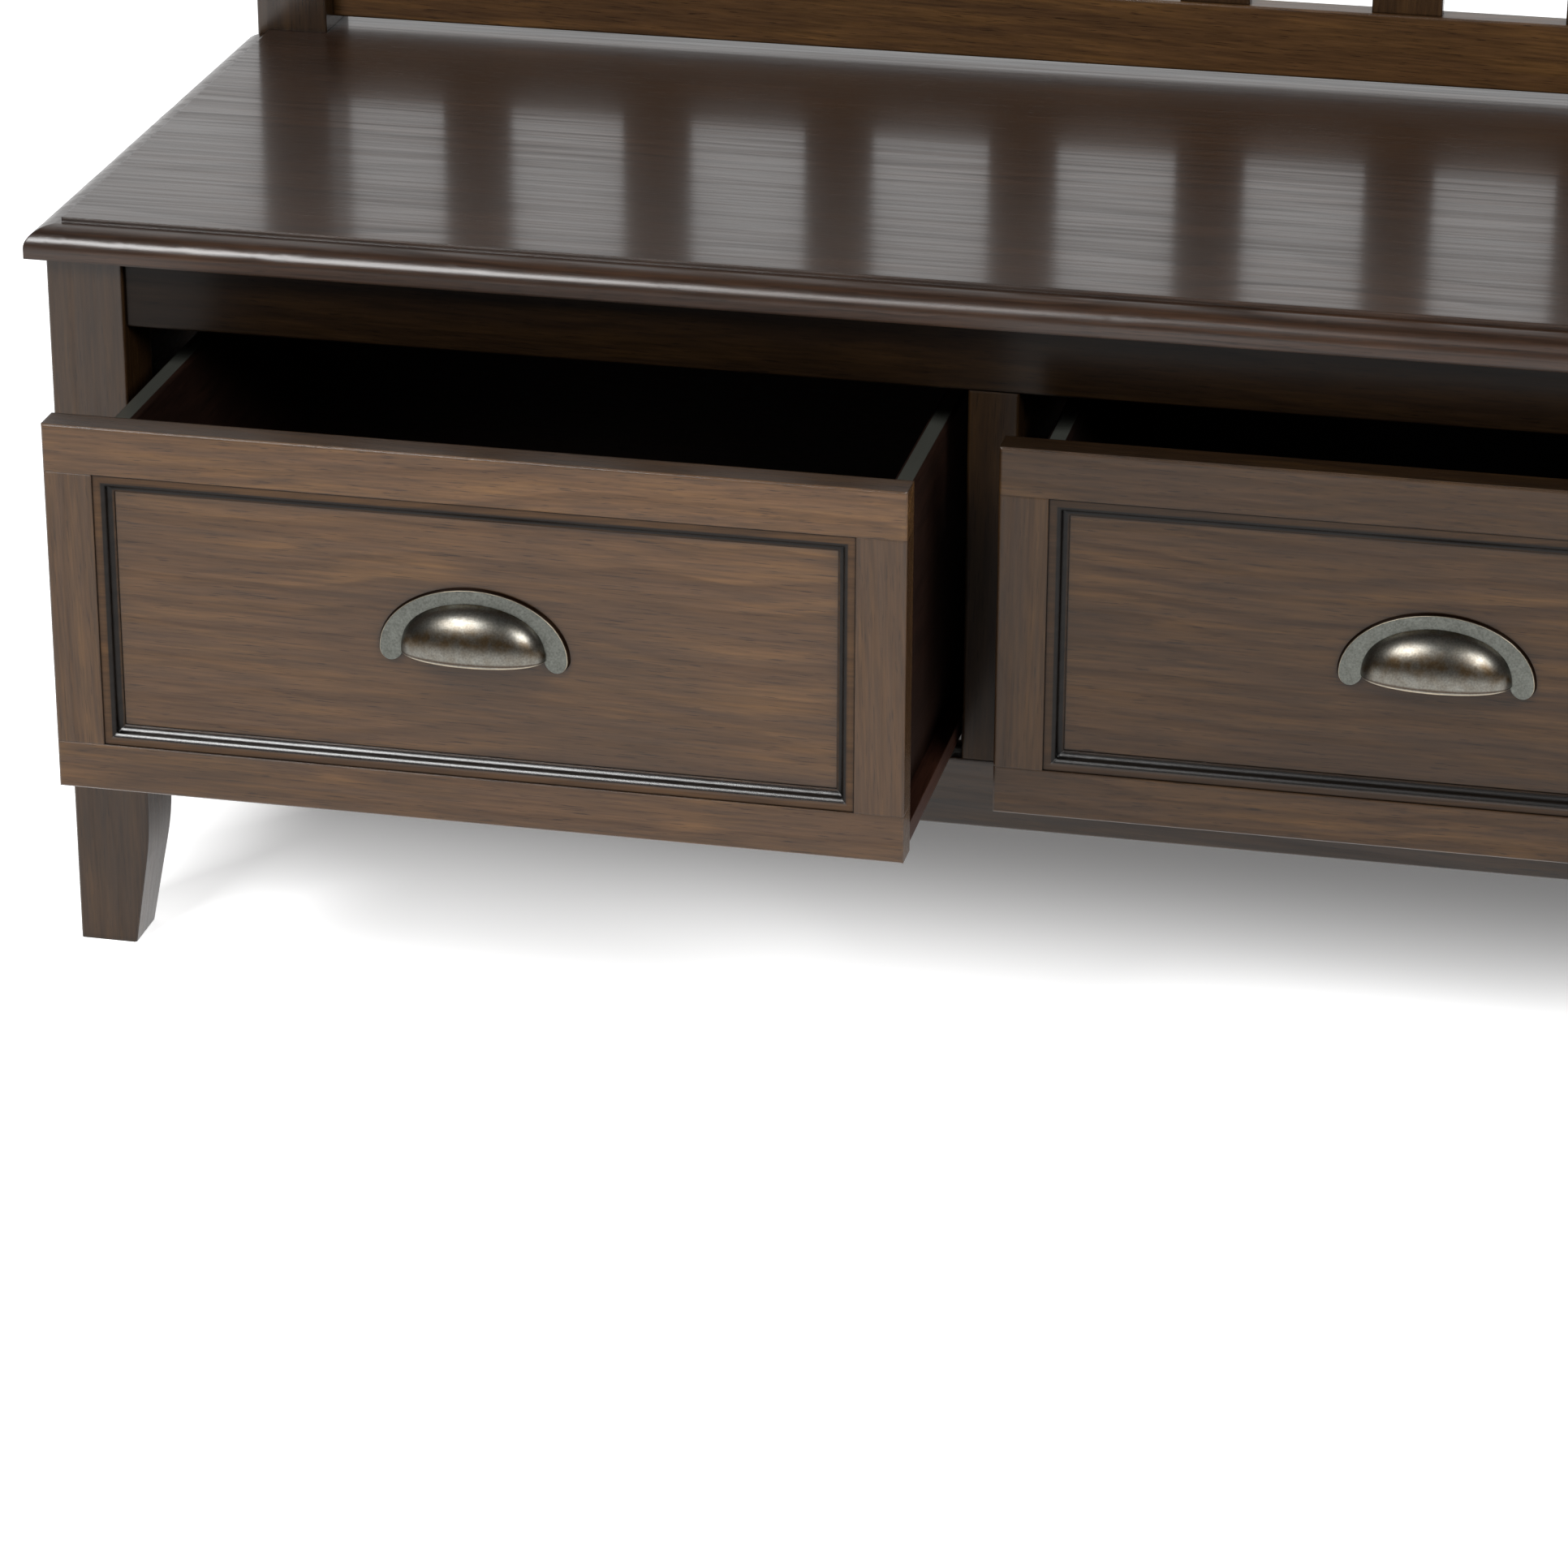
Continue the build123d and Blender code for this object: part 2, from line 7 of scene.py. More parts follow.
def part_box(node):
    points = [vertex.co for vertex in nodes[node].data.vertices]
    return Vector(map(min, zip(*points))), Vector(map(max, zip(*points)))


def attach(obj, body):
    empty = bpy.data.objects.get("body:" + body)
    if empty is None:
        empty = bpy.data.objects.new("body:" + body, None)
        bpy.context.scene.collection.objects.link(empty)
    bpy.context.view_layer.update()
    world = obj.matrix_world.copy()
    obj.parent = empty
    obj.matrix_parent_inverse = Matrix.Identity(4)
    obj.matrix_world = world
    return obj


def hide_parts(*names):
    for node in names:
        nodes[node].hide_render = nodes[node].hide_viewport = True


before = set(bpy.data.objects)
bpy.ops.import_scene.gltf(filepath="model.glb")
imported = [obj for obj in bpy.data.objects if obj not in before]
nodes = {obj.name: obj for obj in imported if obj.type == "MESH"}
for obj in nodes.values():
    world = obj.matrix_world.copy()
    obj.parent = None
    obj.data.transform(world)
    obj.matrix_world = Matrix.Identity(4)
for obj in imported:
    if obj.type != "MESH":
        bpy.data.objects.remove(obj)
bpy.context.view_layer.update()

print("frame loaded:", len(nodes), "nodes")


# small helpers for node graphs

def newMaterial(name):
    mat = bpy.data.materials.new(name)
    mat.use_nodes = True
    mat.node_tree.nodes.clear()
    return mat, mat.node_tree


def fill(tree, socket, value):
    # another node's output is linked; a number or colour is set on the socket itself
    if isinstance(value, bpy.types.NodeSocket):
        tree.links.new(value, socket)
    elif socket.type == "RGBA":
        socket.default_value = (*value, 1)
    else:
        socket.default_value = value


def addNode(tree, kind, inputs=None, **settings):
    node = tree.nodes.new(kind)
    for key, value in settings.items():
        setattr(node, key, value)
    for key, value in (inputs or {}).items():
        fill(tree, node.inputs[key], value)
    return node


def mathNode(tree, operation, *values):
    return addNode(tree, "ShaderNodeMath", dict(enumerate(values)), operation=operation).outputs[0]


def times(tree, a, b):
    return mathNode(tree, "MULTIPLY", a, b)


def plus(tree, a, b):
    return mathNode(tree, "ADD", a, b)


def mixColour(tree, factor, a, b, blend="MIX"):
    # the Mix node's colours are its inputs 6 and 7 and its output 2
    node = addNode(tree, "ShaderNodeMix", {0: factor, 6: a, 7: b}, data_type="RGBA", blend_type=blend)
    return node.outputs[2]


def shaded(tree, tone, shade):
    return mixColour(tree, 1.0, tone, shade, "MULTIPLY")


def ramp(tree, value, stops):
    # stops are pairs of value and grey
    node = addNode(tree, "ShaderNodeValToRGB", {0: value})
    elements = node.color_ramp.elements
    while len(elements) < len(stops):
        elements.new(0.5)
    for element, (place, shade) in zip(elements, stops):
        element.position = place
        element.color = (shade, shade, shade, 1)
    return node.outputs[0]


def smoothStep(tree, value, start, end, low, high):
    return addNode(tree, "ShaderNodeMapRange", {
        "Value": value, "From Min": start, "From Max": end, "To Min": low, "To Max": high,
    }, interpolation_type="SMOOTHSTEP").outputs[0]


def mapped(tree, source, moves):
    # moves are the Mapping node's Location, Rotation and Scale
    return addNode(tree, "ShaderNodeMapping", {"Vector": source, **moves}).outputs[0]


def objectPlace(tree):
    return addNode(tree, "ShaderNodeTexCoord").outputs["Object"]


def noiseNode(tree, source, scale, detail):
    return addNode(tree, "ShaderNodeTexNoise", {"Vector": source, "Scale": scale, "Detail": detail})


def principled(tree, inputs):
    # the shader, joined to the material's output
    shader = addNode(tree, "ShaderNodeBsdfPrincipled", inputs)
    addNode(tree, "ShaderNodeOutputMaterial", {"Surface": shader.outputs[0]})


# stained pine

grainTurns = {  # brings each grain direction onto X
    "x": (0, 0, 0),
    "y": (0, 0, math.pi / 2),
    "z": (0, math.pi / 2, 0),
}

logs = {  # where boards are cut from their logs
    "spread": (3, 0.09, 0.09),
    "middle": (0, 0.02, 0.05),
    "ringStretch": (0.1, 1, 1),
    "ringWander": {"Distortion": 1.5, "Detail": 2, "Detail Scale": 0.6},
}

grainNoise = {  # scale, stretch along the grain, detail
    "sway": (9, 2.2, 2),
    "broad": (11, 3.5, 2),
    "patches": (20, 3, 3),
    "flames": (118, 16, 7),
    "fibres": (620, 24, 4),
    "streaks": (260, 60, 4),
    "pores": (1700, 26, 1),
}

grainRamps = {  # pattern value and its strength
    "rings": [(0.0, 0.0), (0.55, 0.2), (0.93, 1.0), (1.0, 0.15)],
    "ringPatches": [(0.32, 0.25), (0.62, 1.0)],
    "patches": [(0.38, 0.1), (0.62, 1.0)],
    "flames": [(0.40, 0.0), (0.72, 1.0)],
    "streaks": [(0.42, 0.0), (0.60, 1.0)],
    "pores": [(0.29, 0.0), (0.37, 1.0)],
    "broadShade": [(0.3, 0.78), (0.7, 1.14)],
    "fibreShade": [(0.30, 0.70), (0.70, 1.24)],
}

slopeRamps = {  # how far a face looks one way, and the strength there
    "chamfer": [(0.8, 1.0), (0.95, 0.0)],
    "chamferTop": [(0.3, 0.0), (0.6, 1.0)],
    "topReflection": [(0.8, 0.0), (0.97, 0.85)],
}

lacquerRamps = {  # lacquer by how far a face looks up, for the looks that limit it
    "slopeShade": [(0.08, 0.16), (0.3, 1.0)],
    "topOnly": [(0.9, 0.0), (0.99, 1.0)],
    "edgeRough": [(0.2, 0.5), (0.65, 1.0)],
}

pineLook = {
    "dark": (0.0180, 0.0084, 0.0036),
    "brown": (0.0520, 0.0250, 0.0092),
    "amber": (0.1300, 0.0630, 0.0175),
    "tone": 1.0,             # lighter or darker board
    "flame": 0.58,           # strength of the amber figure
    "ringWidth": 0.013,      # spacing of the growth rings
    "ringTilt": 0.035,       # the log's slope against the board
    "ringDepth": 0.32,
    "ringRelief": 0.12,      # how much the rings dull the lacquer
    "streakRelief": 0.1,     # the same for the fine straight streaks
    "pores": 0.55,
    "poreRelief": 0.5,       # pores against fibres in the bump
    "bump": 0.18,
    "bumpHeight": 0.0004,
    "sway": 0.05,            # slow bends of the fibres
    "roughness": 0.5,
    "roughSpread": 0.16,     # roughness differs this much from fibre to fibre
    "specular": 0.05,
    "coat": 0.85,
    "coatIor": 1.38,
    "coatRoughness": 0.2,
    "edgeRadius": 0.0018,
    "cornerShadeReach": 0.007,     # painted shade reaching into corners and recesses, from ambient occlusion
    "cornerShade": 0.75,
    "cornerShadeFrom": 0.25,       # how deep a corner takes the full painted shade
    "cornerShadeTo": 0.72,         # and where it ends
    "edgeRough": 0.0,        # lacquer roughness on faces that aren't level, when set
    "arrisShine": 0.7,       # extra gloss on the eased arrises
    "slopeShade": 0.0,        # painted shade on faces that don't look forward; lacquer on the upper ones
    "topOnly": False,        # lacquer on upward faces only
    "topShade": 0.0,          # painted shade on upward faces
    "topReflection": None,         # painted reflection: a thin grey on upward faces, when set
}


def grainPattern(tree, grain, seed, look):
    # noises stretched along the grain, and growth rings about a tilted log axis
    rng = np.random.default_rng(seed)
    turned = mapped(tree, objectPlace(tree), {"Rotation": grainTurns[grain]})
    spot = rng.uniform(-1, 1, 3) * logs["spread"] + logs["middle"]
    tilt = rng.uniform(-1, 1, 2) * look["ringTilt"]
    straight = mapped(tree, turned, {"Location": spot, "Rotation": (0, *tilt)})

    def stretched(key, source, output="Fac"):
        scale, stretch, detail = grainNoise[key]
        squeezed = mapped(tree, source, {"Scale": (1 / stretch, 1, 1)})
        return noiseNode(tree, squeezed, scale, detail).outputs[output]

    def strength(key, value):
        return ramp(tree, value, grainRamps[key])

    bent = addNode(tree, "ShaderNodeVectorMath", {
        0: stretched("sway", straight, "Color"), 1: (0, look["sway"], look["sway"]), 2: straight,
    }, operation="MULTIPLY_ADD").outputs[0]
    rings = addNode(tree, "ShaderNodeTexWave", {
        "Vector": mapped(tree, bent, {"Scale": logs["ringStretch"]}),
        "Scale": 2 * math.pi / (20 * look["ringWidth"]),   # the node draws 20 / 2 pi rings a unit
        **logs["ringWander"],
    }, wave_type="RINGS", rings_direction="X", wave_profile="SAW").outputs["Fac"]
    broad = stretched("broad", bent)
    return {
        "broad": broad,
        "lateWood": times(tree, strength("rings", rings), strength("ringPatches", broad)),
        "flames": times(tree, strength("flames", stretched("flames", bent)),
                        strength("patches", stretched("patches", bent))),
        "fibres": stretched("fibres", straight),
        "streaks": strength("streaks", stretched("streaks", straight)),
        "pores": strength("pores", stretched("pores", straight)),
    }


def slopes(tree):
    # how far a face looks up and forward, and whether it is an upward chamfer, square to no axis
    surface = addNode(tree, "ShaderNodeNewGeometry").outputs
    facing = addNode(tree, "ShaderNodeSeparateXYZ", {0: surface["Normal"]}).outputs
    forward = mathNode(tree, "ABSOLUTE", facing["Y"])
    flat = addNode(tree, "ShaderNodeVectorMath", {0: surface["True Normal"]}, operation="ABSOLUTE")
    axes = addNode(tree, "ShaderNodeSeparateXYZ", {0: flat.outputs[0]}).outputs
    squarest = mathNode(tree, "MAXIMUM", axes["X"], mathNode(tree, "MAXIMUM", axes["Y"], axes["Z"]))
    chamfer = times(tree, ramp(tree, squarest, slopeRamps["chamfer"]),
                    ramp(tree, facing["Z"], slopeRamps["chamferTop"]))
    return facing["Z"], forward, chamfer


def stainColour(tree, look, pattern, upward, forward):
    # brown with amber flames and dark rings, shaded by fibres and pores, with painted shade in corners, on faces
    # that don't look forward and on upward faces, and a painted grey reflection on upward faces
    brown, amber, dark = (tuple(look["tone"] * c for c in look[key]) for key in ("brown", "amber", "dark"))
    tone = mixColour(tree, times(tree, pattern["flames"], look["flame"]), brown, amber)
    tone = mixColour(tree, times(tree, pattern["lateWood"], look["ringDepth"]), tone, dark)
    # painted shade in corners and recesses, from ambient occlusion
    corner = addNode(tree, "ShaderNodeAmbientOcclusion", {"Distance": look["cornerShadeReach"]},
                     samples=6, only_local=False)
    cornerShadeStops = [(look["cornerShadeFrom"], 1 - look["cornerShade"]), (look["cornerShadeTo"], 1.0)]
    shades = [
        ramp(tree, pattern["broad"], grainRamps["broadShade"]),
        ramp(tree, pattern["fibres"], grainRamps["fibreShade"]),
        mixColour(tree, look["pores"], (1.0, 1.0, 1.0), pattern["pores"]),
        ramp(tree, corner.outputs["AO"], cornerShadeStops),
    ]
    # painted shade on faces that don't look forward
    if look["slopeShade"]:
        shades.append(ramp(tree, forward, [(0.96, 1 - look["slopeShade"]), (0.999, 1.0)]))
    # painted shade on upward faces
    if look["topShade"]:
        shades.append(ramp(tree, upward, [(0.8, 1.0), (0.97, 1 - look["topShade"])]))
    for shade in shades:
        tone = shaded(tree, tone, shade)
    # painted reflection of the bright backdrop, grey on upward faces
    if look["topReflection"]:
        tone = mixColour(tree, ramp(tree, upward, slopeRamps["topReflection"]), tone, look["topReflection"])
    return tone


def stainedPine(name, grain, seed, **changes):
    # stained grain under a lacquer that rings and streaks dull and that eased arrises brighten
    look = {**pineLook, **changes}
    mat, tree = newMaterial(name)
    pattern = grainPattern(tree, grain, seed, look)
    upward, forward, chamfer = slopes(tree)

    soft = addNode(tree, "ShaderNodeBevel", {"Radius": look["edgeRadius"]}, samples=4).outputs[0]
    bump = addNode(tree, "ShaderNodeBump", {
        "Strength": look["bump"], "Distance": look["bumpHeight"], "Normal": soft,
        "Height": plus(tree, pattern["fibres"], times(tree, pattern["pores"], look["poreRelief"])),
    }).outputs[0]

    dulled = plus(tree, times(tree, pattern["lateWood"], -look["ringRelief"]),
                  times(tree, pattern["streaks"], -look["streakRelief"]))
    lacquer = times(tree, plus(tree, dulled, 1.0), look["coat"])
    for key, stops in lacquerRamps.items():
        if look[key]:
            lacquer = times(tree, lacquer, ramp(tree, upward, stops))
    polish = look["coatRoughness"]
    if look["edgeRough"]:
        polish = ramp(tree, upward, [(0.9, look["edgeRough"]), (0.99, look["coatRoughness"])])

    roughMiddle = look["roughness"] - look["roughSpread"] / 2
    principled(tree, {
        "Base Color": stainColour(tree, look, pattern, upward, forward),
        "Specular IOR Level": look["specular"],
        "Roughness": plus(tree, times(tree, pattern["fibres"], look["roughSpread"]), roughMiddle),
        "Normal": bump,
        "Coat Weight": lacquer,
        "Coat Roughness": polish,
        "Coat IOR": plus(tree, times(tree, chamfer, look["arrisShine"]), look["coatIor"]),
        "Coat Normal": soft,
    })
    return mat


# metal and small finishes

pewterLook = {
    "body": (0.150, 0.135, 0.112),
    "shade": (0.060, 0.048, 0.036),
    "wornEdge": (0.46, 0.39, 0.29),
    "copper": (0.030, 0.015, 0.008),
    "mottle": 0.3,           # how much of the shade colour the clouds bring
    "roughness": 0.34,
    "roughSpread": 0.05,
    "roughDrop": 0.02,       # the bare metal is this much smoother
    "speckle": (900, 4),     # noise scale and detail
    "clouds": (160, 3),
    "bump": 0.12,
    "bumpHeight": 0.0002,
}

pewterRamps = {  # cloud or speckle value and its strength
    "mottle": [(0.35, 0.0), (0.7, 1.0)],
    "brownReflection": [(0.3, 0.35), (0.65, 0.9)],
    "rubbedAndShaded": [(0.25, 0.45), (0.6, 1.0)],
    "grit": [(0.3, 0.72), (0.7, 1.15)],
}


def agedPewter(name, **changes):
    # mottled metal; a piece's "brownReflection" attribute browns it as a painted reflection of the dark
    # surround, and its
    # "wearAndShade" lightens rubbed edges or, below 0, darkens to copper, which also paints shade above the
    # cup's lip
    look = {**pewterLook, **changes}
    mat, tree = newMaterial(name)
    place = objectPlace(tree)
    speckle = noiseNode(tree, place, *look["speckle"]).outputs["Fac"]
    clouds = noiseNode(tree, place, *look["clouds"]).outputs["Fac"]
    brownReflection, wearAndShade = (addNode(tree, "ShaderNodeAttribute", attribute_name=key).outputs["Fac"]
                    for key in ("brownReflection", "wearAndShade"))
    mottle = ramp(tree, clouds, pewterRamps["mottle"])
    aged = plus(tree, times(tree, mottle, look["mottle"]),
                times(tree, brownReflection, ramp(tree, clouds, pewterRamps["brownReflection"])))
    tone = mixColour(tree, aged, look["body"], look["shade"])
    tone = shaded(tree, tone, ramp(tree, speckle, pewterRamps["grit"]))
    rubbedAndShaded = times(tree, mathNode(tree, "MAXIMUM", wearAndShade, 0.0), ramp(tree, clouds, pewterRamps["rubbedAndShaded"]))
    tone = mixColour(tree, rubbedAndShaded, tone, look["wornEdge"])
    tone = mixColour(tree, times(tree, wearAndShade, -1.0), tone, look["copper"])
    bump = addNode(tree, "ShaderNodeBump", {
        "Strength": look["bump"], "Distance": look["bumpHeight"], "Height": speckle,
    }).outputs[0]
    principled(tree, {
        "Base Color": tone,
        "Metallic": 1.0,
        "Roughness": plus(tree, times(tree, mottle, look["roughSpread"]), look["roughness"] - look["roughDrop"]),
        "Normal": bump,
    })
    return mat


smallLook = {
    "detail": 4,
    "shade": [(0.3, 0.78), (0.7, 1.1)],
    "roughSpread": 0.15,
    "roughDrop": 0.07,
}


def plainFinish(name, colour, roughness, metallic, grainScale):
    # one tone broken by fine noise
    look = smallLook
    mat, tree = newMaterial(name)
    noise = noiseNode(tree, objectPlace(tree), grainScale, look["detail"]).outputs["Fac"]
    principled(tree, {
        "Base Color": shaded(tree, colour, ramp(tree, noise, look["shade"])),
        "Metallic": metallic,
        "Roughness": plus(tree, times(tree, noise, look["roughSpread"]), roughness - look["roughDrop"]),
    })
    return mat


# finishes for the CAD nodes

seatGloss = {
    "brown": (0.026, 0.0122, 0.0062), "amber": (0.052, 0.0225, 0.0088), "dark": (0.011, 0.0052, 0.0026),
    "roughness": 0.36, "specular": 0.2, "arrisShine": 0.0, "coat": 0.95, "coatRoughness": 0.14, "coatIor": 1.47,
    "ringDepth": 0.7, "ringRelief": 0.25, "streakRelief": 0.35, "flame": 0.5, "ringWidth": 0.0042,
    "ringTilt": 0.01, "sway": 0.012, "edgeRough": 0.26,
}
# near-black colours: painted shade inside the drawers and on the boxes' sides
shadedInside = {
    "brown": (0.012, 0.0050, 0.0030), "amber": (0.022, 0.0078, 0.0038), "dark": (0.006, 0.0027, 0.0016),
    "roughness": 0.55, "specular": 0.15, "coat": 1.0, "coatIor": 1.6, "topOnly": True,
}
# painted reflection: grey on the box sides' top edges
boxSide = {**shadedInside, "topReflection": (0.046, 0.049, 0.042)}
# painted shade on the top rail's upper face
topRail = {"topShade": 0.55}
redRunner = {
    "brown": (0.034, 0.012, 0.007), "amber": (0.060, 0.021, 0.010), "dark": (0.018, 0.007, 0.004),
    "roughness": 0.5, "specular": 0.2, "coat": 0.0,
}
# painted shade in the bead's corners and on its slopes
beadGloss = {
    "coat": 1.0, "coatIor": 1.72, "coatRoughness": 0.23, "pores": 0.2, "flame": 0.3, "arrisShine": 0.0,
    "cornerShade": 0.97, "cornerShadeReach": 0.012, "cornerShadeFrom": 0.55, "cornerShadeTo": 0.95, "slopeShade": 0.92,
}
calmUpright = {"flame": 0.38, "ringDepth": 0.18, "pores": 0.4}
legGloss = {**calmUpright, "coat": 0.9}
postGloss = {"coatIor": 1.5}
apronGloss = {"coat": 0.22}
# painted shade along the panel's edges
panelCornerShade = {"cornerShade": 0.95, "cornerShadeReach": 0.014, "cornerShadeFrom": 0.45, "cornerShadeTo": 0.88}
rightFront = {"coat": 0.62}   # the right drawer is less glossy

woodRules = [  # start and end of the name, grain direction, finish; the first that fits is used
    ("seat_top", "", "x", seatGloss),
    ("top_cap", "", "x", seatGloss),
    ("", "_left_side", "y", boxSide),
    ("", "_right_side", "y", boxSide),
    ("", "_drawer_top_rail", "x", topRail),
    ("", "_bead", "x", beadGloss),
    ("rear_post", "", "z", postGloss),
    ("front_leg", "", "z", legGloss),
    ("centre_stile", "", "z", apronGloss),
    ("front_apron", "", "x", apronGloss),
    ("", "_drawer_panel", "x", panelCornerShade),
    ("", "_drawer_back", "x", shadedInside),
    ("", "_drawer_floor", "x", shadedInside),
    ("", "_strips", "y", redRunner),
    ("", "_runners", "y", redRunner),
    ("back_slat", "", "z", calmUpright),
    ("", "_stiles", "z", calmUpright),
    ("side_panel", "", "y", {}),
    ("centre_partition", "", "y", {}),
    ("", "", "x", {}),
]

boardToneAndShade = {  # start of the name, and how light the board is drawn; the first that fits is used, or else 1; the apron's and the right drawer's low tones are painted shade
    # painted shade: the apron drawn very dark
    "front_apron": 0.15,
    "centre_stile": 0.25,
    "bottom_front_rail": 0.32,
    "back_lower_rail": 1.1,
    "back_slat": 0.62,
    "front_leg": 0.55,
    "rear_post": 0.42,
    "left_drawer_bead": 0.9,
    "left_drawer_top_rail": 1.18,
    "left_drawer_stiles": 0.86,
    # painted shade: the right drawer and its bead drawn darker
    "right_drawer_bead": 0.5,
    "right_drawer": 0.58,
}
firstSeed = 11

steel = plainFinish("dullSteel", (0.30, 0.29, 0.27), 0.42, 1.0, 700)
nylon = plainFinish("paleNylon", (0.66, 0.65, 0.61), 0.5, 0.0, 300)
hookMetal = agedPewter("hookPewter")


def woodFor(name, seed):
    grain, changes = next((grain, changes) for start, end, grain, changes in woodRules
                          if name.startswith(start) and name.endswith(end))
    tone = next((t for start, t in boardToneAndShade.items() if name.startswith(start)), 1.0)
    if name.startswith("right_drawer"):
        changes = {**rightFront, **changes}
    return stainedPine("pine_" + name, grain, seed, tone=tone, **changes)


for index, (name, node) in enumerate(sorted(nodes.items())):
    if name.endswith("_screws"):
        finish = steel
    elif name == "nylon_glides":
        finish = nylon
    elif name.startswith("coat_hook") or name.endswith("_pull"):
        finish = hookMetal
    else:
        finish = woodFor(name, firstSeed + index)
    node.data.materials.clear()
    node.data.materials.append(finish)
print("finishes on the CAD nodes")


# surfaces worked out on a grid

def gridMesh(name, points, finish, wearAndShade, brownReflection):
    # points is rows x columns x 3 and its columns join round; wearAndShade and brownReflection go along the
    # columns
    rows, columns = points.shape[:2]
    index = np.arange(rows * columns).reshape(rows, columns)
    across = np.roll(index, -1, axis=1)
    faces = np.stack([index[:-1], across[:-1], across[1:], index[1:]], axis=-1).reshape(-1, 4)
    mesh = bpy.data.meshes.new(name)
    mesh.from_pydata(points.reshape(-1, 3).tolist(), [], faces.tolist())
    for key, values in (("wearAndShade", wearAndShade), ("brownReflection", brownReflection)):
        layer = mesh.attributes.new(key, "FLOAT", "POINT")
        layer.data.foreach_set("value", np.tile(values, rows).astype(np.float32))
    mesh.polygons.foreach_set("use_smooth", np.ones(len(mesh.polygons), dtype=bool))
    mesh.materials.append(finish)
    mesh.update()
    obj = bpy.data.objects.new(name, mesh)
    bpy.context.collection.objects.link(obj)
    return obj


# cup pulls

cupPull = {
    "width": 0.110,
    "height": 0.0455,
    "plate": 0.0030,         # thickness of the flange
    "arris": 0.0005,
    "lobe": 0.0145,          # width of the flange's round ends
    "topBand": 0.0095,       # width of the flange at its crown
    "faceFrom": 0.03,        # where the flat face starts and ends, and the arris ends, across the band
    "faceTo": 0.90,
    "arrisTo": 0.93,
    "flangeGap": 0.0001,     # clear of the panel
    "cupGap": 0.0002,
    "overlap": 0.0012,       # how far the cup runs under the flange
    "reach": 0.0197,
    "wall": 0.0018,
    "innerHeight": 0.95,     # height of the cup's inside against its outside
    "fullness": 0.82,        # power of the sine that swells the cup; lower is fuller at the ends
    "lip": 0.0013,
    "lipDrop": 0.0009,
    "lipRoll": 0.78,         # part of a full turn that the lip rolls
    "aroundCount": 97,
    "sectionCount": 32,
    "capCount": 14,
}
flangeMetal = agedPewter("flangePewter", body=(0.108, 0.112, 0.100), shade=(0.07, 0.069, 0.06), roughness=0.42)
cupMetal = agedPewter("cupBronze", body=(0.155, 0.150, 0.133), shade=(0.082, 0.056, 0.031), roughness=0.31)


def pullPlace(node):
    # middle of the pull in X, the panel's face in Y, and the lobes' centre level in Z
    low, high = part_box(node)
    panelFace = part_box(node.replace("_pull", "_panel"))[0][1]
    return np.array([(low[0] + high[0]) / 2, panelFace, low[2] + cupPull["lobe"] / 2])


def flangeSurface(place, name):
    # a flat band along a half ellipse, widening from crown to lobes, with round ends and rounded edges
    p = cupPull
    lobe = p["lobe"] / 2
    outerX = p["width"] / 2
    outerZ = p["height"] - lobe
    innerX = outerX - p["lobe"]
    innerZ = outerZ - p["topBand"]
    turn = np.linspace(0, math.pi, p["aroundCount"])
    capTurn = np.linspace(0, math.pi / 2, p["capCount"])[1:]
    outer = np.stack([outerX * np.cos(turn), outerZ * np.sin(turn)], axis=-1)
    inner = np.stack([innerX * np.cos(turn), innerZ * np.sin(turn)], axis=-1)
    # each round end closes from both edges to one point below
    middle = np.array([outerX - lobe, 0])
    half = np.stack([lobe * np.cos(capTurn), 0 * capTurn], axis=-1)
    drop = np.stack([0 * capTurn, -lobe * np.sin(capTurn)], axis=-1)
    rightOuter = (middle + half + drop)[::-1]
    rightInner = (middle - half + drop)[::-1]
    flip = np.array([-1, 1])
    outer = np.concatenate([rightOuter, outer, (rightOuter * flip)[::-1]])
    inner = np.concatenate([rightInner, inner, (rightInner * flip)[::-1]])
    # across the band: inner wall, flat face, a small round arris, a sloping outer edge, flat back
    face = np.linspace(p["faceFrom"], p["faceTo"], 9)
    bend = np.linspace(0, math.pi / 2, 6)[1:]
    slope = np.linspace(0, 1, 5)[1:]
    arrisShare = p["arrisTo"] - p["faceTo"]
    blend = np.concatenate([[0, 0], face, p["faceTo"] + arrisShare * np.sin(bend),
                            p["arrisTo"] + (1 - p["arrisTo"]) * slope, [0.5]])
    arrisFoot = p["plate"] - p["arris"]
    lift = np.concatenate([[0, arrisFoot], face * 0 + p["plate"], arrisFoot + p["arris"] * np.cos(bend),
                           arrisFoot * (1 - slope), [0]])
    # rubbed bright along the arris, copper down the outer edge
    rubbedAndShaded = np.concatenate([[0, 0], face * 0, [0.6, 1, 1, 1, 0.2], slope * 0 - 1, [0]])
    flat = inner[:, None, :] * (1 - blend)[None, :, None] + outer[:, None, :] * blend[None, :, None]
    points = np.stack([
        place[0] + flat[..., 0],
        place[1] - p["flangeGap"] - np.broadcast_to(lift, flat.shape[:2]),
        place[2] + flat[..., 1],
    ], axis=-1)
    return gridMesh(name, points, flangeMetal, rubbedAndShaded, rubbedAndShaded * 0)


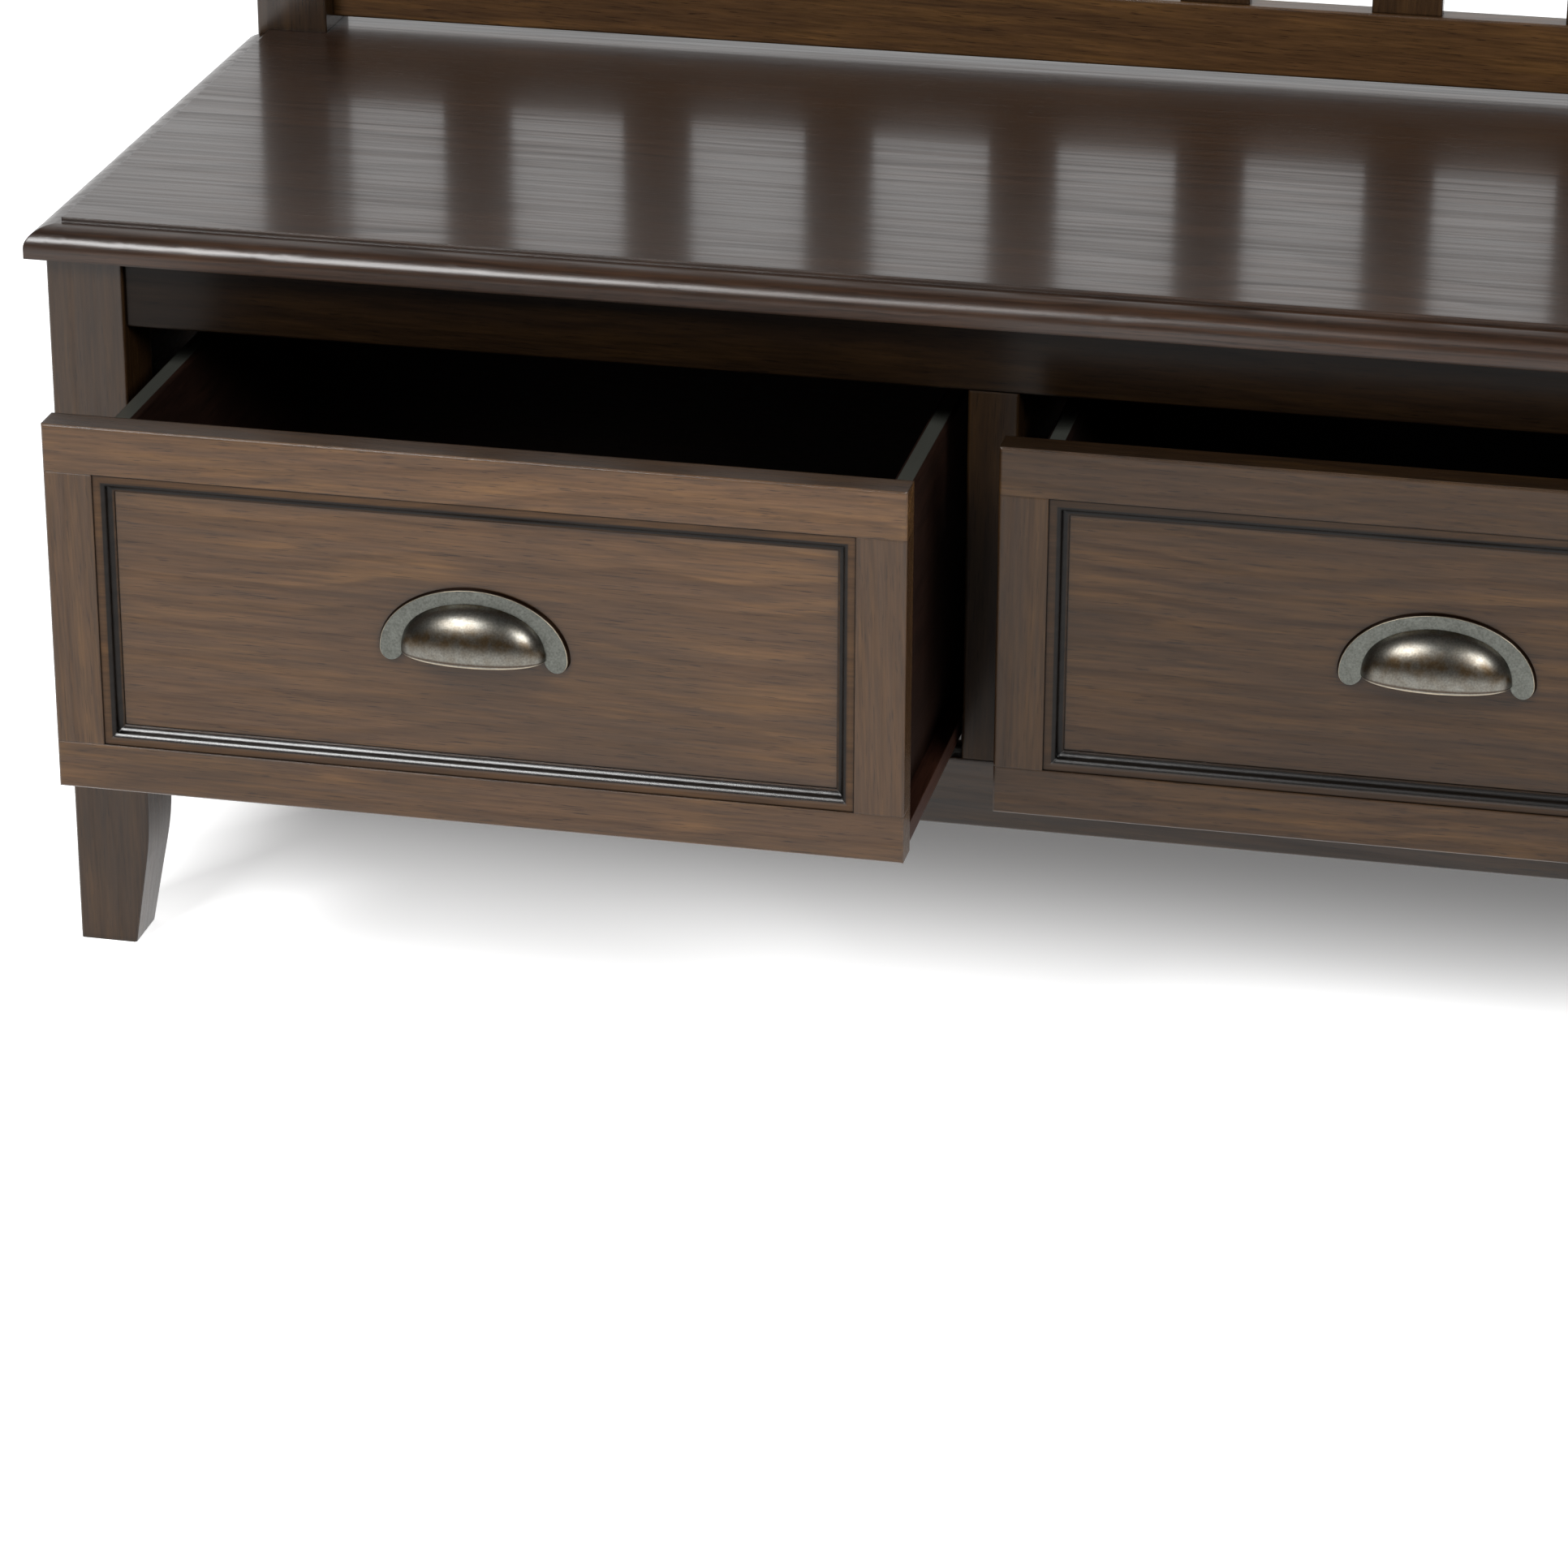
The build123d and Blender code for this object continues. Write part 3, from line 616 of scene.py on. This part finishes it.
def cupSurface(place, name):
    # a quarter ellipsoid: half ellipses swung from the plate down to the lip, doubled inside to give a wall
    p = cupPull
    halfWidth = p["width"] / 2 - p["lobe"] + p["overlap"]
    height = p["height"] - p["lobe"] / 2 - p["topBand"] + p["overlap"]
    turn = np.linspace(0.0, math.pi, p["aroundCount"])
    swing = np.linspace(0, math.pi / 2, p["sectionCount"])
    lipTurn = np.linspace(0, 2 * math.pi, 15)[1:-1] * p["lipRoll"]
    innerReach = p["reach"] - p["wall"]
    # the section at the middle of the width: outer arc, rolled lip, inner arc
    outer = np.stack([np.sin(swing) * p["reach"], np.cos(swing) * height], axis=-1)
    inner = np.stack([np.sin(swing) * innerReach, np.cos(swing) * height * p["innerHeight"]], axis=-1)[::-1]
    lipMiddle = np.array([p["reach"] - p["lip"], -p["lipDrop"]])
    lip = lipMiddle + p["lip"] * np.stack([np.cos(-lipTurn), np.sin(-lipTurn)], axis=-1)
    section = np.concatenate([outer, lip, inner])
    belly = np.sin(turn) ** p["fullness"]
    spread = np.cos(turn)
    points = np.stack([
        place[0] + halfWidth * np.broadcast_to(spread[:, None], (len(turn), len(section))),
        place[1] - p["cupGap"] - belly[:, None] * section[None, :, 0],
        place[2] + belly[:, None] * section[None, :, 1],
    ], axis=-1)
    lipShade = np.where(swing > 0.985 * math.pi / 2, -0.9, 0.0)   # painted shade: a dark line above the rolled lip, under the belly
    rubbedAndShaded = np.concatenate([lipShade, np.linspace(0.8, 0.5, len(lip)), np.zeros(len(swing)) - 0.6])
    brown = np.exp(-((swing - 1.08) / 0.2) ** 2) + np.clip((0.4 - swing) / 0.3, 0, 1)   # painted reflection of the dark surround: browner round the highlight and near the top
    brownReflection = np.concatenate([brown, lip[:, 0] * 0, swing * 0])
    return gridMesh(name, points, cupMetal, rubbedAndShaded, brownReflection)


for side in ("left", "right"):
    node = side + "_drawer_pull"
    spot = pullPlace(node)
    flange = flangeSurface(spot, side + "PullFlange")
    cup = cupSurface(spot, side + "PullCup")
    for piece in (flange, cup):
        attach(piece, side + "_drawer")
    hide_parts(node)
print("cup pulls made")


# floor, light and camera

floorLook = {
    "size": 60.0,
    "tone": (0.90, 0.90, 0.90),
    "mottle": (0.3, 2),      # noise scale and detail
    "mottleShade": [(0.3, 0.96), (0.7, 1.0)],
    "roughness": 0.9,
    "glowAndShadow": 0.1,             # painted shadow: the floor's weaker glow under the bench
    "openGlow": 0.88,        # painted light: glow of the open floor, which also lights the bench
    "glowMiddle": 0.18,      # Y of the middle of the shaded part
    "glowWidth": 0.36,       # its half width in X
    "glowFrom": 0.02,        # the glow grows between these distances from it
    "glowFull": 0.34,
}


def floorFinish(name):
    # matt white paper, faintly mottled; it glows as painted light that also lights the bench from below, and
    # glows less under the bench as a painted shadow
    look = floorLook
    mat, tree = newMaterial(name)
    place = objectPlace(tree)
    mottle = noiseNode(tree, place, *look["mottle"]).outputs["Fac"]
    axes = addNode(tree, "ShaderNodeSeparateXYZ", {0: place}).outputs
    deep = mathNode(tree, "ABSOLUTE", mathNode(tree, "SUBTRACT", axes["Y"], look["glowMiddle"]))
    wide = mathNode(tree, "SUBTRACT", mathNode(tree, "ABSOLUTE", axes["X"]), look["glowWidth"])
    away = mathNode(tree, "MAXIMUM", deep, wide)
    glowAndShadow = smoothStep(tree, away, look["glowFrom"], look["glowFull"], look["glowAndShadow"], look["openGlow"])
    principled(tree, {
        "Base Color": shaded(tree, look["tone"], ramp(tree, mottle, look["mottleShade"])),
        "Roughness": look["roughness"],
        "Specular IOR Level": 0.0,
        "Emission Color": (1, 1, 1),
        "Emission Strength": glowAndShadow,
    })
    return mat


half = floorLook["size"] / 2
floorMesh = bpy.data.meshes.new("floor")
corners = [(-half, -half, 0), (half, -half, 0), (half, half, 0), (-half, half, 0)]
floorMesh.from_pydata(corners, [], [(0, 1, 2, 3)])
floor = bpy.data.objects.new("floor", floorMesh)
bpy.context.collection.objects.link(floor)
floorMesh.materials.append(floorFinish("paleFloor"))

studio = {
    "backdrop": 1.1,        # white surround behind and above
    "frontGlow": 0.06,      # dim surround on the camera's side
    "turnFrom": 0.12,       # the surround brightens between these parts of the direction along Y
    "turnFull": 0.6,
    "lamps": [
        # name, place, aim, width, height, watts
        ("frontSoftbox", (-1.6, -2.75, 3.1), (0.0, -0.2, 0.25), 1.5, 1.35, 140),
        ("rightSoftbox", (2.1, -2.3, 2.3), (0.1, -0.2, 0.3), 1.2, 1.3, 80),
    ],
}
world = bpy.data.worlds.new("studio")
bpy.context.scene.world = world
world.use_nodes = True
sky = world.node_tree
sky.nodes.clear()
direction = addNode(sky, "ShaderNodeTexCoord").outputs["Generated"]
backward = addNode(sky, "ShaderNodeSeparateXYZ", {0: direction}).outputs["Y"]
surround = smoothStep(sky, backward, studio["turnFrom"], studio["turnFull"],
                      studio["frontGlow"], studio["backdrop"])
background = addNode(sky, "ShaderNodeBackground", {"Strength": surround})
addNode(sky, "ShaderNodeOutputWorld", {"Surface": background.outputs[0]})


def aimed(place, target):
    # a turn that points local -Z from place to target
    return (Vector(target) - Vector(place)).to_track_quat("-Z", "Y").to_matrix().to_4x4()


for name, place, target, width, height, watts in studio["lamps"]:
    lamp = bpy.data.lights.new(name, "AREA")
    lamp.shape = "RECTANGLE"
    lamp.size = width
    lamp.size_y = height
    lamp.energy = watts
    lampObject = bpy.data.objects.new(name, lamp)
    lampObject.matrix_world = Matrix.Translation(place) @ aimed(place, target)
    bpy.context.collection.objects.link(lampObject)

photoCamera = {
    "place": (0.5010, -3.0013, 1.4268),
    "turn": (0.41178, 0.21149, 0.04761),   # rotation vector from the level view along +Y
    "lens": 125.39,
    "sensor": 36.0,
    "farthest": 200,
}
cameraData = bpy.data.cameras.new("photoCamera")
cameraData.sensor_width = photoCamera["sensor"]
cameraData.sensor_fit = "HORIZONTAL"
cameraData.lens = photoCamera["lens"]
cameraData.clip_end = photoCamera["farthest"]
turn = Vector(photoCamera["turn"])
level = Matrix(((1, 0, 0), (0, 0, -1), (0, 1, 0)))
view = Matrix.Rotation(turn.length, 3, turn.normalized()) @ level   # rows: right, down, forward
facing = Matrix((view[0], -view[1], -view[2])).transposed()
cameraObject = bpy.data.objects.new("photoCamera", cameraData)
cameraObject.matrix_world = Matrix.Translation(photoCamera["place"]) @ facing.to_4x4()
bpy.context.collection.objects.link(cameraObject)
bpy.context.scene.camera = cameraObject
bpy.context.scene.view_settings.view_transform = "Standard"   # the photo's plain contrast
print("floor, light and camera set")
